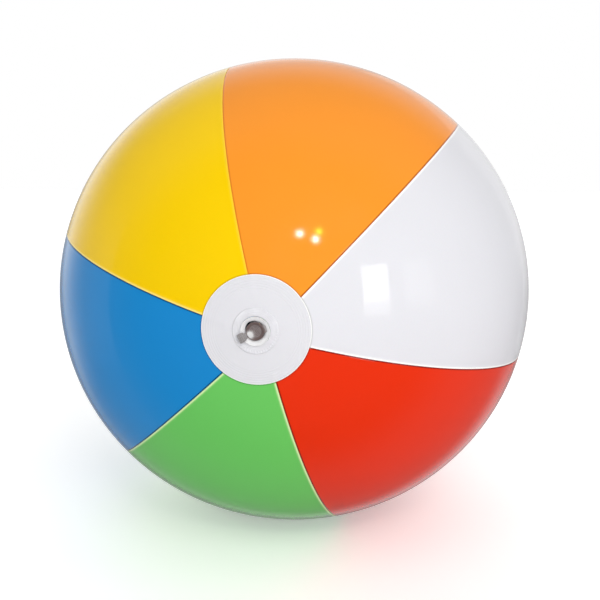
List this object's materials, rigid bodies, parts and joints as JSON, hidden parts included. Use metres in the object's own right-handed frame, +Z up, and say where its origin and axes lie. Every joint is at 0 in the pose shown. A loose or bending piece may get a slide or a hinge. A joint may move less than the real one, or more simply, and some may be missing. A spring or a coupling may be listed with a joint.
{
  "type": "inflatable beach ball",
  "caption": "Round inflatable ball of coloured film gores with white end discs and a push-in air valve with a tethered plug.",
  "frame": {"origin": "centre of the small flat that the ball rests on, where its own weight presses the film against the ground", "axes": "+Z up; the gores' tips and the two end discs lie along Y, and the valve faces -Y"},
  "size_m": [0.3198, 0.3235, 0.3131],
  "materials": {
    "film_orange": "glossy opaque PVC film",
    "film_white": "glossy opaque PVC film",
    "film_red": "glossy opaque PVC film",
    "film_green": "glossy opaque PVC film",
    "film_blue": "glossy opaque PVC film",
    "film_yellow": "glossy opaque PVC film",
    "film_disc": "glossy opaque PVC film with ring welds",
    "clear_pvc": "clear soft moulded PVC"
  },
  "bodies": {
    "ball": {"gore_orange": "film_orange", "gore_white": "film_white", "gore_red": "film_red", "gore_green": "film_green", "gore_blue": "film_blue", "gore_yellow": "film_yellow", "valve_end_disc": "film_disc", "far_end_disc": "film_disc", "valve_flange": "clear_pvc", "valve_web": "clear_pvc"},
    "stem": {"valve_stem": "clear_pvc", "plug_tether": "clear_pvc"},
    "plug": {"valve_plug": "clear_pvc"},
    "flap": {"check_flap": "clear_pvc"}
  },
  "joints": [
    {"name": "stem_slide", "type": "slide", "parent": "ball", "child": "stem", "axis": [0, -1, 0], "range_m": [0, 0.013], "deforming": ["valve_web"]},
    {"name": "plug_swing", "type": "hinge", "parent": "stem", "child": "plug", "pos_m": [-0.0122, -0.16212, 0.15459], "axis": [0.4384, 0, -0.8988], "range_deg": [0, 150], "deforming": ["plug_tether"]},
    {"name": "flap_swing", "type": "hinge", "parent": "stem", "child": "flap", "pos_m": [-0.0042, -0.14817, 0.16339], "axis": [1, 0, 0], "range_deg": [0, 60]}
  ]
}
